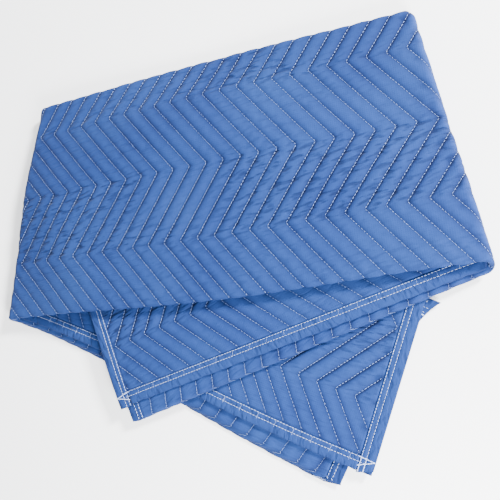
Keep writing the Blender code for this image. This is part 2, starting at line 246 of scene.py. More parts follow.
# The second fold: two wings turned under the top third
def turnUnder(x, y, height, level):
    folded = np.stack([x, y, topBase(x, y) + height], axis=1)
    flat = np.ones(len(x), bool)
    for side in (right, left):
        past, footX, footY, outX, outY = pastLine(x, y, side)
        slackRate = slackAt[side] * np.maximum(1 - y / panel, 0.0) / slab
        slack = slackRate * level
        past = past - slack
        arc = bendArcAt(level)
        footX, footY = slid(footX + slack * outX, footY + slack * outY, side,
                            slideAt[side] * smooth(past / arc))
        beyond = past - arc
        lead = arc - bendArcAt(level - half) + 2 * slackRate * half
        beyond = beyond + lead * smooth(beyond / wingFold["lagRun"])
        underX, underY = footX - beyond * outX, footY - beyond * outY
        underZ = wingBase(underX, underY, side) + slab - height
        above, below = topBase(footX, footY), wingBase(footX, footY, side) + slab
        turn = pi * past / arc
        radius = (above - below) / 2 + height
        out = radius * np.sin(turn)
        bent = np.stack([footX + out * outX, footY + out * outY,
                         (above + below) / 2 + radius * np.cos(turn)], axis=1)
        under = np.stack([underX, underY, underZ], axis=1)
        moves = flat & (past > 0)
        folded = np.where((moves & (past >= arc))[:, None], under,
                          np.where((moves & (past < arc))[:, None], bent, folded))
        flat &= past <= 0
    return folded


def foldCloth(points):
    folded = turnUnder(*strip(*np.asarray(points, float).T))
    return folded - np.array([*blanket["centre"], 0.0])


# Relief, tape and thread stand square to a face of the folded cloth: +half is the outer one
def wrapCloth(points, face):
    u, v, w = np.asarray(points, float).T
    face = face + 0 * w
    step = 0.0004               # to either side, for the slope of the cloth

    def at(du, dv):
        return foldCloth(np.stack([u + du, v + dv, face], axis=1))

    normal = np.cross(at(0, step) - at(0, -step), at(step, 0) - at(-step, 0))
    normal /= np.linalg.norm(normal, axis=1, keepdims=True)
    return at(0, 0) + (w - face)[:, None] * normal, normal


# The number of the row of corners at v, with the lines' lean back just past the near fold
def cornerRow(v):
    lag = (1 - quilting["steep"]) * np.clip(v - quilting["steepFrom"], 0, quilting["steepFor"])
    return (v - lag - zigFirst) / quilting["row"]


def zigzag(v):
    return quilting["phase"] + quilting["step"] * np.abs(cornerRow(v) % 2 - 1)


# The number of the line of stitches at a place, with the way to the next one as its fraction
def lineNumber(u, v):
    return (u - zigzag(v)) / quilting["pitch"]


def edgeInset(u, v):
    return np.minimum(np.minimum(u, length - u), np.minimum(v, width - v))


# A smooth random field from 0 to 1, the same on every run, over cells of one unit
def noiseField(x, y, seed):
    cells = 256
    grid = np.random.default_rng(seed).random((cells, cells))
    cellX, cellY = np.floor(x).astype(int), np.floor(y).astype(int)
    shareX, shareY = smooth(x - cellX), smooth(y - cellY)

    def corner(stepX, stepY):
        return grid[(cellX + stepX) % cells, (cellY + stepY) % cells]

    low = corner(0, 0) * (1 - shareX) + corner(1, 0) * shareX
    high = corner(0, 1) * (1 - shareX) + corner(1, 1) * shareX
    return low * (1 - shareY) + high * shareY


def linear(hexColour):
    channels = [int(hexColour[i:i + 2], 16) / 255 for i in (1, 3, 5)]
    return [c / 12.92 if c <= 0.04045 else ((c + 0.055) / 1.055) ** 2.4 for c in channels] + [1.0]


# Adds a node with its settings, values and links, and returns one of its outputs
def addNode(tree, kind, output, inputs=None, **settings):
    node = tree.nodes.new(kind)
    for name, value in settings.items():
        setattr(node, name, value)
    for name, value in (inputs or {}).items():
        if isinstance(value, bpy.types.NodeSocket):
            tree.links.new(value, node.inputs[name])
        else:
            node.inputs[name].default_value = value
    return node.outputs[output]


def newMaterial(name, shaderInputs):
    material = bpy.data.materials.new(name)
    material.use_nodes = True
    shader = material.node_tree.nodes["Principled BSDF"]
    for key, value in shaderInputs.items():
        shader.inputs[key].default_value = value
    return material, material.node_tree, shader


clothLook = {
    "shade": "#0D1C46",          # deep in the quilting
    # painted shadow beside the thread, strongest on the side that faces away from the light
    "grooveShadow": "#060F2C",         # beside the thread
    "grooveShadowWidth": 0.19,         # of the way to the next line
    "grooveShadowBefore": 0.45,        # on its other side it is this strong, and half as wide
    "body": "#1A336B",
    "worn": "#223F77",           # rubbed tops of the quilting
    "wornShare": 0.45,
    "weaveMm": 2.6,              # really 0.5 mm, drawn coarser so that it shows
    "weaveDepth": 0.0003,
    "slubMm": 9.0,               # thick and thin places in the yarn
    "slubShade": 0.13,           # make it this much lighter or darker
    "slubDepth": 0.0006,
    "threadBump": 0.35,          # how strongly the weave and the slubs show
    "blotchMm": 120.0,           # patches that are worn more
    "puckerMm": (22.0, 5.2),     # along the blanket and across it
    "puckerDepth": 0.0014,
    "puckerTurn": radians(9),    # from square to the blanket
    "puckerShade": 0.55,         # the deepest puckers are in shade
    "roughness": 0.85,
    "sheen": 0.04,
    "sheenRoughness": 0.45,
    "shine": 0.12,               # cotton barely glints
}


# Woven polyester-cotton cover: matt, with a fine plain weave and paler rubbed patches. It has painted
# shade in the hollows of the quilting and the puckers and a painted shadow beside the stitches, so
# that its relief reads even in flat light
def wovenCloth(name, look):
    material, tree, shader = newMaterial(name, {
        "Roughness": look["roughness"],
        "Sheen Weight": look["sheen"],
        "Sheen Roughness": look["sheenRoughness"],
        "Specular IOR Level": look["shine"],
    })
    flat = addNode(tree, "ShaderNodeUVMap", "UV", uv_map="flat")
    crown, line, grooveShadowStrength, pull = (addNode(tree, "ShaderNodeAttribute", "Fac", attribute_name=share)
                              for share in ("crown", "line", "grooveShadowStrength", "pucker"))
    shade, grooveShadow, body, wornBlue = (linear(look[key]) for key in ("shade", "grooveShadow", "body", "worn"))

    # the cover's blue with painted shade in the hollows of the quilting, its rubbed patches and its
    # uneven yarns
    blotch = addNode(tree, "ShaderNodeTexNoise", "Fac", {
        "Vector": flat,
        "Scale": 1000 / look["blotchMm"],
        "Detail": 3.0,
    })
    slub = addNode(tree, "ShaderNodeTexNoise", "Fac", {
        "Vector": flat,
        "Scale": 1000 / look["slubMm"],
        "Detail": 6.0,
        "Roughness": 0.72,
    })
    base = addNode(tree, "ShaderNodeMix", "Result", {"Factor": crown, "A": shade, "B": body},
                   data_type="RGBA")
    rubbed = addNode(tree, "ShaderNodeMapRange", "Result", {
        "Value": blotch,
        "From Min": 0.35,
        "From Max": 0.75,
        "To Min": 0.0,
        "To Max": look["wornShare"],
    })
    worn = addNode(tree, "ShaderNodeMix", "Result", {"Factor": rubbed, "A": base, "B": wornBlue},
                   data_type="RGBA")
    yarns = addNode(tree, "ShaderNodeMapRange", "Result", {
        "Value": slub,
        "From Min": 0.3,
        "From Max": 0.7,
        "To Min": 1 - look["slubShade"],
        "To Max": 1 + look["slubShade"],
    })
    yarned = addNode(tree, "ShaderNodeHueSaturation", "Color", {"Value": yarns, "Color": worn})

    # "line" counts the lines of stitches, so its fraction is the way from one to the next
    across = addNode(tree, "ShaderNodeMath", "Value", {0: line}, operation="FRACT")
    # painted shadow: dark just past each line of stitches, weaker and half as wide just before it
    after = addNode(tree, "ShaderNodeMapRange", "Result", {
        "Value": across,
        "From Max": look["grooveShadowWidth"],
        "To Min": 1.0,
        "To Max": 0.0,
    })
    before = addNode(tree, "ShaderNodeMapRange", "Result", {
        "Value": across,
        "From Min": 1 - look["grooveShadowWidth"] / 2,
        "To Min": 0.0,
        "To Max": look["grooveShadowBefore"],
    })
    beside = addNode(tree, "ShaderNodeMath", "Value", {0: after, 1: before}, operation="MAXIMUM")
    grooveShadowShare = addNode(tree, "ShaderNodeMath", "Value", {0: beside, 1: grooveShadowStrength}, operation="MULTIPLY")
    grooveShadowed = addNode(tree, "ShaderNodeMix", "Result", {"Factor": grooveShadowShare, "A": yarned, "B": grooveShadow},
                      data_type="RGBA")

    # noise drawn out into puckers, as strong as the stitches pull the cloth
    turned = addNode(tree, "ShaderNodeMapping", "Vector", {
        "Vector": flat,
        "Rotation": (0.0, 0.0, look["puckerTurn"]),
    })
    drawnOut = addNode(tree, "ShaderNodeMapping", "Vector", {
        "Vector": turned,
        "Scale": (1000 / look["puckerMm"][0], 1000 / look["puckerMm"][1], 1.0),
    })
    ripple = addNode(tree, "ShaderNodeTexNoise", "Fac", {
        "Vector": drawnOut,
        "Scale": 1.0,
        "Detail": 1.2,
    })
    puckers = addNode(tree, "ShaderNodeMapRange", "Result", {
        "Value": ripple,
        "From Min": 0.27,
        "From Max": 0.55,
    }, interpolation_type="SMOOTHSTEP")
    # painted shade in the hollows of the puckers, in the colour of the groove shadow
    hollow = addNode(tree, "ShaderNodeMapRange", "Result", {
        "Value": puckers,
        "To Min": look["puckerShade"],
        "To Max": 0.0,
    })
    shaded = addNode(tree, "ShaderNodeMath", "Value", {0: hollow, 1: pull}, operation="MULTIPLY")
    creased = addNode(tree, "ShaderNodeMix", "Result", {"Factor": shaded, "A": grooveShadowed, "B": grooveShadow},
                      data_type="RGBA")
    tree.links.new(creased, shader.inputs["Base Color"])

    # a wave texture repeats every 2 pi / 20 of a unit at scale 1
    bands = {"Vector": flat, "Scale": 2 * pi / 20 * 1000 / look["weaveMm"], "Distortion": 0.6}
    warp = addNode(tree, "ShaderNodeTexWave", "Fac", bands, wave_type="BANDS", bands_direction="X")
    weft = addNode(tree, "ShaderNodeTexWave", "Fac", bands, wave_type="BANDS", bands_direction="Y")
    weave = addNode(tree, "ShaderNodeMath", "Value", {0: warp, 1: weft}, operation="MULTIPLY")
    normal = None
    for height, strength, depth in (
        (weave, look["threadBump"], look["weaveDepth"]),
        (slub, look["threadBump"], look["slubDepth"]),
        (puckers, pull, look["puckerDepth"]),
    ):
        bump = {"Height": height, "Strength": strength, "Distance": depth}
        if normal is not None:
            bump["Normal"] = normal
        normal = addNode(tree, "ShaderNodeBump", "Normal", bump)
    tree.links.new(normal, shader.inputs["Normal"])
    return material


# The quilting thread is white: it is drawn blue and darker as painted shade, for the groove it lies
# in and the blue light that the cloth throws on it
threadLook = {
    "body": "#7C9AE0",
    "plyMm": 0.9,
    "plyShade": 0.14,            # the turns of the plies are this much darker
    "roughness": 0.5,
    "sheen": 0.3,
}
# The binding thread is white too, drawn with a pale blue tint of painted shade from the cloth around
# it
bindingThreadLook = dict(threadLook, body="#B2C6F6")


# Spun polyester sewing thread: pale, a little glossy, and flecked by its twisted plies, so
# that each stitch stands out from the matt cloth
def sewingThread(name, look):
    material, tree, shader = newMaterial(name, {
        "Roughness": look["roughness"],
        "Sheen Weight": look["sheen"],
    })
    place = addNode(tree, "ShaderNodeTexCoord", "Object")
    ply = addNode(tree, "ShaderNodeTexNoise", "Fac", {
        "Vector": place,
        "Scale": 1000 / look["plyMm"],
        "Detail": 2.0,
    })
    shade = addNode(tree, "ShaderNodeMapRange", "Result", {
        "Value": ply,
        "To Min": 1 - look["plyShade"],
        "To Max": 1.0,
    })
    tint = addNode(tree, "ShaderNodeHueSaturation", "Color", {
        "Value": shade,
        "Color": linear(look["body"]),
    })
    tree.links.new(tint, shader.inputs["Base Color"])
    return material


clothMaterial = wovenCloth("wovenClothBlue", clothLook)
# Woven binding tape: the same yarn in a tighter weave, so it looks smoother and a little darker,
# and its short puckers run across the blanket
tapeLook = dict(
    clothLook,
    shade="#0D1E4A",
    body="#193268",
    worn="#213D74",
    weaveMm=2.0,
    puckerMm=(6.0, 16.0),
)
tapeMaterial = wovenCloth("bindingTapeBlue", tapeLook)
threadMaterial = sewingThread("quiltThreadPaintedShade", threadLook)
bindingThreadMaterial = sewingThread("whiteThread", bindingThreadLook)
print("materials made")


def newPiece(name, mesh, material, replaced=()):
    mesh.materials.append(material)
    piece = bpy.data.objects.new(name, mesh)
    bpy.context.scene.collection.objects.link(piece)
    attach(piece, "root")
    if replaced:
        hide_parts(*replaced)
    return piece


def addFlatUv(mesh, flat):
    layer = mesh.uv_layers.new(name="flat")
    corners = np.empty(len(mesh.loops), np.int32)
    mesh.loops.foreach_get("vertex_index", corners)
    layer.data.foreach_set("uv", flat[corners, :2].astype(np.float32).ravel())


def addShare(mesh, name, values):
    attribute = mesh.attributes.new(name, "FLOAT", "POINT")
    attribute.data.foreach_set("value", np.asarray(values, np.float32))


def setPoints(mesh, co):
    mesh.vertices.foreach_set("co", np.asarray(co, np.float32).ravel())
    mesh.update()


def finishMesh(bm, name):
    mesh = bpy.data.meshes.new(name)
    bm.to_mesh(mesh)
    bm.free()
    mesh.polygons.foreach_set("use_smooth", np.ones(len(mesh.polygons), bool))
    return mesh


clothPiece = {
    "tape": 0.019,               # width of the binding that covers the edge
    "columnsPerLine": 2,
    "rowStep": 0.01215,
    "bendCuts": 9,               # around each bend of the wings
    "fine": 0.0032,              # longest edge in what is in sight
    "gather": 1.4,               # draws the mesh towards the lines of stitches
    "clear": 0.004,              # but not this near the binding
    "depth": 0.0008,             # the stitches draw the cloth in
    "crease": 0.0014,            # and close to the thread a little more
    "creaseWidth": 0.0026,
    "puff": 0.0003,              # where nothing lies on it the filling swells
    "puffPatch": 0.05,           # unevenly, over patches of this size
    "openLeft": 0.06,            # the top third is open from this far before its left line
    "openRight": 0.03,           # to this far past its right line
    "openFade": 0.02,
    "nearPuff": 0.6,             # the near fold swells this much as well
    "nearPuffReach": 0.004,
    "pucker": 0.0011,
    "puckerLong": 0.030,         # length of a pucker along the blanket
    "puckerPitch": 0.0080,       # from one to the next
    "puckerSlope": 0.16,
    "patchLong": 0.11,           # patches that pucker more
    "patchWide": 0.05,
    "cornerReach": 0.15,         # rows of corners pucker more, over this share of a row
    "stretched": 0.55,           # around a bend the quilting is pulled this much flatter
    "stretchReach": 0.013,
}


# Rows of vertices, wherever the sheet's section or its pattern changes and evenly between
def clothRows(piece):
    tape = piece["tape"]
    swell = tape + blanket["swell"]
    fixed = [0.0, tape, swell, bottomEnd, bottomEnd + farArc / 4, bottomEnd + farArc / 2,
             bottomEnd + farArc * 3 / 4, topStart, topEnd, topEnd + nearArc / 3,
             topEnd + nearArc * 2 / 3, middleStart, width - swell, width - tape, width,
             quilting["steepFrom"], quilting["steepFrom"] + quilting["steepFor"]]
    late = (1 - quilting["steep"]) * quilting["steepFor"]
    zigRows = [zigFirst + k * quilting["row"] for k in range(-1, 10)]
    zigRows = [row + late if row > quilting["steepFrom"] else row for row in zigRows]
    fixed += [row for row in zigRows if swell < row < width - swell]
    step = piece["rowStep"]
    rows = sorted(fixed)
    filled = []
    for low, high in zip(rows, rows[1:]):
        count = max(1, round((high - low) / step))
        filled += [low + (high - low) * i / count for i in range(count)]
    return np.array(filled + [width])


# The flat sheet, with columns along the zigzag of the quilting and cuts along the wings' bends
def clothSheet(piece):
    rows = clothRows(piece)
    perLine = piece["columnsPerLine"]
    firstLine = -ceil(quilting["step"] / quilting["pitch"]) - 1
    lastLine = ceil(length / quilting["pitch"]) + 1
    columns = (lastLine - firstLine) * perLine
    bm = bmesh.new()
    bmesh.ops.create_grid(bm, x_segments=columns, y_segments=len(rows) - 1, size=0.5)
    for vert in bm.verts:
        column = round((vert.co.x + 0.5) * columns)
        row = round((vert.co.y + 0.5) * (len(rows) - 1))
        v = rows[row]
        u = zigzag(v) + (firstLine + column / perLine) * quilting["pitch"]
        vert.co = (u, v, 0.0)
    swell = piece["tape"] + blanket["swell"]
    for u in (0.0, length, piece["tape"], swell, length - piece["tape"], length - swell):
        bmesh.ops.bisect_plane(bm, geom=bm.verts[:] + bm.edges[:] + bm.faces[:], dist=1e-5,
                               plane_co=(u, 0, 0), plane_no=(1, 0, 0),
                               clear_inner=u == 0.0, clear_outer=u == length)
    # each layer: its level, where it starts and ends across the blanket, and how far its cuts run
    layers = (
        (bottomLevel, 0, bottomEnd, bottomEnd),
        (topLevel, topStart, topEnd, topEnd),
        (middleLevel, middleStart, width, middleStart + panel),
    )
    for side in (right, left):
        for share in np.linspace(0, 1, piece["bendCuts"]):
            for level, low, high, run in layers:
                faces = [f for f in bm.faces if low < f.calc_center_median().y < high]
                around = bendArcAt(level) * share / cos(lean[side])
                nearU = lineAt[side] + side * (around + slackAt[side] * level / slab)
                farU = lineAt[side] + (side * around - side * panel * tan(lean[side]))
                startU, endU = (farU, nearU) if level == topLevel else (nearU, farU)
                cutAlong(bm, faces, (startU, low), (endU - startU, run - low))
    return bm


def cutAlong(bm, faces, point, direction):
    edges = dict.fromkeys(edge for face in faces for edge in face.edges)    # each one once, in order
    verts = dict.fromkeys(vert for face in faces for vert in face.verts)
    bmesh.ops.bisect_plane(bm, geom=[*faces, *edges, *verts], dist=2e-4,
                           plane_co=(*point, 0.0), plane_no=(direction[1], -direction[0], 0.0))


# Half the thickness of the padding, which is pressed thin inside the binding
def padHalf(u, v):
    rise = np.clip((edgeInset(u, v) - clothPiece["tape"]) / blanket["swell"], 0.0, 1.0)
    return (blanket["edgeThick"] + (blanket["thick"] - blanket["edgeThick"]) * rise) / 2


def lineShare(u, v):
    lines = lineNumber(u, v)
    return np.abs(lines - np.round(lines)) * 2      # 0 on a line of stitches, 1 midway


# How open the outer face is: the top third, and the edge of the near fold along the wings too
def isOpen(u, v):
    piece = clothPiece
    pastLeft = smooth((u - lineAt[left] + piece["openLeft"]) / piece["openFade"])
    pastRight = smooth((lineAt[right] + piece["openRight"] - u) / piece["openFade"])
    topLayer = (v > bottomEnd + farArc * 0.4) & (v < middleStart - nearArc * 0.3)
    nearFold = np.exp(-((v - topEnd - nearArc / 2) / piece["nearPuffReach"]) ** 2)
    return np.where(topLayer, pastLeft * pastRight, 0.0) + nearFold * piece["nearPuff"]


# 1 on the legs of the zigzag that lean one way, 0 on those that lean the other
def legShare(v):
    return smooth(0.5 + 1.6 * np.sin(pi * cornerRow(v)))


# How deep the legs are pulled in: the cloth gives more one way than the other
def legPull(v):
    return quilting["slackLeg"] + (1 - quilting["slackLeg"]) * legShare(v)


# 1 at the middle of a bend that shows as an edge of the bundle, 0 away from it
def bendShare(u, v):
    x, y = strip(u, v, 0 * u)[:2]
    past = [pastLine(x, y, side)[0] - bendArc / 2 for side in (right, left)]
    past.append(v - bottomEnd - farArc / 2)
    nearest = np.min(np.abs(past), axis=0)
    return np.exp(-(nearest / clothPiece["stretchReach"]) ** 2)


# The cloth puckers most along the rows of corners, and not evenly
def puckerStrength(u, v):
    rows = cornerRow(v)
    nearCorner = np.exp(-((rows - np.round(rows)) / clothPiece["cornerReach"]) ** 2)
    field = noiseField(u / clothPiece["patchLong"], v / clothPiece["patchWide"], 6)
    patches = smooth((field - 0.15) / 0.5)
    return np.clip((0.18 + 0.75 * patches + 0.4 * nearCorner) * legPull(v), 0, 1)


# The level of the outer face, and how near it is to the top of the quilting
def outerFace(u, v):
    piece = clothPiece
    share = lineShare(u, v)
    crown = 1 - (1 - share) ** 2
    crease = np.exp(-share * quilting["pitch"] / 2 * quilting["square"] / piece["creaseWidth"])
    across = (v + u * piece["puckerSlope"]) / piece["puckerPitch"]
    puckers = smooth((noiseField(u / piece["puckerLong"] + across * 0.37, across, 5) - 0.1) / 0.4)
    strength = puckerStrength(u, v)
    inset = edgeInset(u, v)
    quilted = smooth((inset - piece["tape"] + 0.002) / 0.010) * (inset > piece["tape"])
    relief = -(piece["depth"] * (1 - crown) + piece["crease"] * crease) * legPull(v)
    relief *= 1 - piece["stretched"] * bendShare(u, v)
    relief += (puckers - 1) * piece["pucker"] * strength * (0.35 + 0.65 * crown)
    unevenPuff = 0.5 + noiseField(u / piece["puffPatch"], v / piece["puffPatch"], 8)
    relief += isOpen(u, v) * piece["puff"] * crown * unevenPuff
    return padHalf(u, v) + relief * quilted, crown


# Faces that something outside the bundle can see, from above or from below
def inSight(bm, folded, lowest, highest):
    bm.verts.ensure_lookup_table()
    bm.faces.ensure_lookup_table()
    polygons = [[v.index for v in f.verts] for f in bm.faces]
    tree = BVHTree.FromPolygons([tuple(point) for point in folded], polygons)
    grazing, offFace = 0.05, 0.0004
    directions = []
    for elevation in np.linspace(lowest, highest, 4):
        for azimuth in range(0, 360, 45):       # each ring is turned a little from the last
            a, e = radians(azimuth + elevation), radians(elevation)
            directions.append(Vector((cos(a) * cos(e), sin(a) * cos(e), sin(e))))
    seen = set()
    for face in bm.faces:
        corners = [Vector(folded[v.index]) for v in face.verts]
        centre = sum(corners, Vector()) / len(corners)
        normal = (corners[1] - corners[0]).cross(corners[2] - corners[0]).normalized()
        for direction in directions:
            if normal.dot(direction) <= grazing:
                continue
            if tree.ray_cast(centre + normal * offFace, direction)[0] is None:
                seen.add(face)
                break
    return seen


# The whole cloth, and for each face of its flat sheet the place and where it is seen from
def quiltedCloth(piece):
    bm = clothSheet(piece)
    print("  flat sheet:", len(bm.faces), "faces")
    bmesh.ops.solidify(bm, geom=bm.faces[:], thickness=half)
    bm.verts.ensure_lookup_table()
    co = np.array([v.co for v in bm.verts])
    upper = co[:, 2] > co[:, 2].mean()
    thick = padHalf(co[:, 0], co[:, 1])
    co[:, 2] = np.where(upper, thick, -thick)
    folded = foldCloth(co)
    for vert, z in zip(bm.verts, co[:, 2]):
        vert.co.z = z
    bm.normal_update()
    # foldCloth() mirrors the cloth, so its faces are turned over here
    bmesh.ops.reverse_faces(bm, faces=bm.faces)
    isFine = bm.faces.layers.int.new("fine")
    above = inSight(bm, folded, 20, 80)         # degrees above the floor
    below = inSight(bm, folded, -75, -5)
    outer = [f for f in bm.faces if all(v.co.z > 0 for v in f.verts)]
    sight = [(f.calc_center_median().xy[:], f in above, f in below) for f in outer]
    shown = above.intersection(outer)
    beside = {g for f in shown for e in f.edges for g in e.link_faces}
    for face in beside.intersection(outer):
        face[isFine] = 1
    print("  in sight from above:", len(shown), "faces")
    for _ in range(2):
        fine = dict.fromkeys(e for f in bm.faces if f[isFine] for e in f.edges)
        long = [e for e in fine if e.calc_length() > piece["fine"]]
        bmesh.ops.subdivide_edges(bm, edges=long, cuts=1, use_grid_fill=True)
    bmesh.ops.triangulate(bm, faces=[f for f in bm.faces if len(f.verts) > 4])
    bm.verts.ensure_lookup_table()
    co = np.array([v.co for v in bm.verts])
    upper = co[:, 2] > 0
    share = lineShare(co[:, 0], co[:, 1])
    inset = edgeInset(co[:, 0], co[:, 1])
    toLine = (share - share ** piece["gather"]) * quilting["pitch"] / 2
    lines = lineNumber(co[:, 0], co[:, 1])
    moved = upper & (inset > piece["tape"] + blanket["swell"] + piece["clear"])
    co[:, 0] += np.where(moved, np.sign(np.round(lines) - lines) * toLine, 0.0)
    level, crown = outerFace(co[:, 0], co[:, 1])
    co[:, 2] = np.where(upper, level, -padHalf(co[:, 0], co[:, 1]))
    mesh = finishMesh(bm, "quiltedCloth")
    addFlatUv(mesh, co)
    # crown also sets the painted shade in the hollows of the quilting; the inner face gets none
    addShare(mesh, "crown", np.where(upper, crown, 1.0))
    addShare(mesh, "pucker", puckerStrength(co[:, 0], co[:, 1]))
    # the painted groove shadow is drawn on the side of each line that faces away from the light, and
    # on the underside it is the other one
    onTop = (co[:, 1] > bottomEnd) & (co[:, 1] < topEnd + nearArc / 2)
    lines = lineNumber(co[:, 0], co[:, 1])
    addShare(mesh, "line", np.where(onTop, lines, -lines))
    clear = smooth((inset - piece["tape"]) / piece["clear"])
    # the painted shadow is stronger on the legs that lean one way, where the light falls across them,
    # and kept off the binding
    grooveShadowByLeg = 0.18 + 0.82 * legShare(co[:, 1])
    addShare(mesh, "grooveShadowStrength", np.where(upper, grooveShadowByLeg, 0.0) * clear)
    setPoints(mesh, wrapCloth(co, np.where(upper, half, -half))[0])
    return mesh, sight


clothMesh, sight = quiltedCloth(clothPiece)
cloth = newPiece("quiltedCloth", clothMesh, clothMaterial, ["pad"])
print("quilted cloth:", len(clothMesh.polygons), "faces")


binding = {
    "width": 0.019,
    "thick": 0.0006,
    "clear": 0.0003,             # from the cloth inside it
    "innerRow": 0.0176,          # lines of stitches, this far from the edge
    "outerRow": 0.0112,
    "step": 0.0024,              # mesh size along the tape
    "tab": 0.0026,               # the side tapes run past the corners
    "cornerCut": 0.008,          # the corner in view on wing B slants by this much
    "flange": 0.0006,            # swell between the outer stitches and the edge
    "between": 0.0003,           # swell between the stitches
    "pucker": 0.00035,           # small puckers across the tape
    "puckerPitch": 0.0058,
    "puckerWide": 0.012,
    "puckerClear": 0.0015,       # the stitches hold it down this far to either side
    "wave": 0.0009,              # the edge goes in and out with the quilting
    "waveReach": 0.012,
    "foldAt": 0.0004,            # the middle of the turn around the cloth's edge
    "outside": (0.0182, 0.0176, 0.0170, 0.0160, 0.0144, 0.0128, 0.0118, 0.0112,
                0.0106, 0.0094, 0.0074, 0.0050, 0.0026, 0.0010, 0.0004),    # rows of vertices
    "inside": (0.0176, 0.0144, 0.0112, 0.0074, 0.0026, 0.0004),
}
# from the middle of the sheet to a tape's outer face
tapeFace = blanket["edgeThick"] / 2 + binding["clear"] + binding["thick"]


# Distance from the edge, and height, along the outer face of a tape from one hem to the other
def tapeSection(piece):
    turns = np.linspace(0, pi, 8)[1:-1]
    section = [(inset, -tapeFace) for inset in (piece["width"], *piece["inside"])]
    section += [(piece["foldAt"] - tapeFace * sin(turn), -tapeFace * cos(turn)) for turn in turns]
    return section + [(inset, tapeFace) for inset in (*reversed(piece["outside"]), piece["width"])]


# The corner of the hem on wing B is folded in askew
def cornerSlant(u, v):
    nearSide = np.clip(1 - u / binding["width"], 0, 1)
    nearHem = np.clip(1 - v / binding["width"], 0, 1)
    return binding["cornerCut"] * nearSide * nearHem


# How far a tape swells out from its flat shape, where nothing presses on it
def tapeRelief(t, inset, u, v):
    outer, inner = binding["outerRow"], binding["innerRow"]
    flange = np.sin(pi * np.clip(inset / outer, 0, 1)) * binding["flange"]
    between = np.sin(pi * np.clip((inset - outer) / (inner - outer), 0, 1)) * binding["between"]
    pucker = noiseField(t / binding["puckerPitch"], inset / binding["puckerWide"], 12)
    pucker *= binding["pucker"]
    toStitches = np.minimum(np.abs(inset - outer), np.abs(inset - inner))
    pucker *= np.clip(toStitches / binding["puckerClear"], 0, 1)
    quilted = 0.45 + 0.55 * (1 - (1 - lineShare(u, v)) ** 3)
    return (flange + between) * quilted + pucker


# A tape folded over one edge of the blanket, from start to end along it
def tape(name, edge, start, end):
    section = tapeSection(binding)
    steps = round((end - start) / binding["step"])
    bm = bmesh.new()
    bmesh.ops.create_grid(bm, x_segments=steps, y_segments=len(section) - 1, size=0.5)
    t = np.array([start + (end - start) * (vert.co.x + 0.5) for vert in bm.verts])
    around = [section[round((vert.co.y + 0.5) * (len(section) - 1))] for vert in bm.verts]
    inset, w = np.array(around).T
    u, v = {
        "hem": (t, inset),
        "innerHem": (t, width - inset),
        "sideA": (length - inset, t),
        "sideB": (inset, t),
    }[edge]
    free = (w > 0) & ((v < bottomEnd) | (edge == "hem"))
    if edge == "hem":
        nearEdge = np.clip(1 - inset / binding["waveReach"], 0, 1)
        v = v + binding["wave"] * (1 - lineShare(u, v)) ** 2 * nearEdge
    v = v + cornerSlant(u, v)
    w = w + np.where(free, tapeRelief(t, inset, u, v), 0.0)
    for vert, co in zip(bm.verts, np.stack([u, v, w], axis=1)):
        vert.co = co
    bm.normal_update()
    # the outer face points up before the tape gets its thickness
    upward = sum(f.normal.z for f in bm.faces if f.calc_center_median().z > tapeFace * 0.9)
    if upward < 0:
        bmesh.ops.reverse_faces(bm, faces=bm.faces)
    bmesh.ops.solidify(bm, geom=bm.faces[:], thickness=binding["thick"])
    bmesh.ops.recalc_face_normals(bm, faces=bm.faces)
    # foldCloth() mirrors the tape as well
    bmesh.ops.reverse_faces(bm, faces=bm.faces)
    co = np.array([vert.co for vert in bm.verts])
    mesh = finishMesh(bm, name)
    addFlatUv(mesh, co)
    # painted shade on the tape: the lower it lies, the darker, full around the turn and on its inner
    # face
    addShare(mesh, "crown", np.clip((co[:, 2] - tapeFace) / 0.0008 * 0.5 + 0.6, 0, 1))
    addShare(mesh, "pucker", 0.5 * smooth((co[:, 2] - 0.0008) / 0.0004))     # on the outer face
    setPoints(mesh, wrapCloth(co, half * np.clip(co[:, 2] / binding["clear"], -1, 1))[0])
    return mesh


covered = binding["width"] + 2 * binding["clear"]   # the hem tapes stop where the side tapes begin
for name, node, edge, start, end in (
    ("hemTape", "end_binding", "hem", covered, length - covered),
    ("innerHemTape", "inner_end_binding", "innerHem", covered, length - covered),
    ("sideTapeA", "side_binding_a", "sideA", -binding["tab"], width + binding["tab"]),
    ("sideTapeB", "side_binding_b", "sideB", -binding["tab"], width + binding["tab"]),
):
    newPiece(name, tape(name, edge, start, end), tapeMaterial, [node])


stitching = {
    "quiltPerRow": 27,           # stitches from one row of corners to the next
    "quiltLength": 0.0035,
    "quiltRadius": 0.00025,
    "slackRadius": 0.65,         # on the slack legs the thread is this share as thick
    "uneven": 0.12,              # each stitch is up to this share longer or shorter
    "tapePitch": 0.0042,
    "tapeLength": 0.0033,
    "tapeRadius": 0.00028,
    "tackRadius": 0.00055,       # back-tacks are several threads side by side
    "tickRadius": 0.00022,       # quilting thread where it crosses the hem
    "sag": 0.7,                  # the ends of a stitch dip by this share of its radius
    "stand": 0.00022,            # the thread's middle above the cloth
}


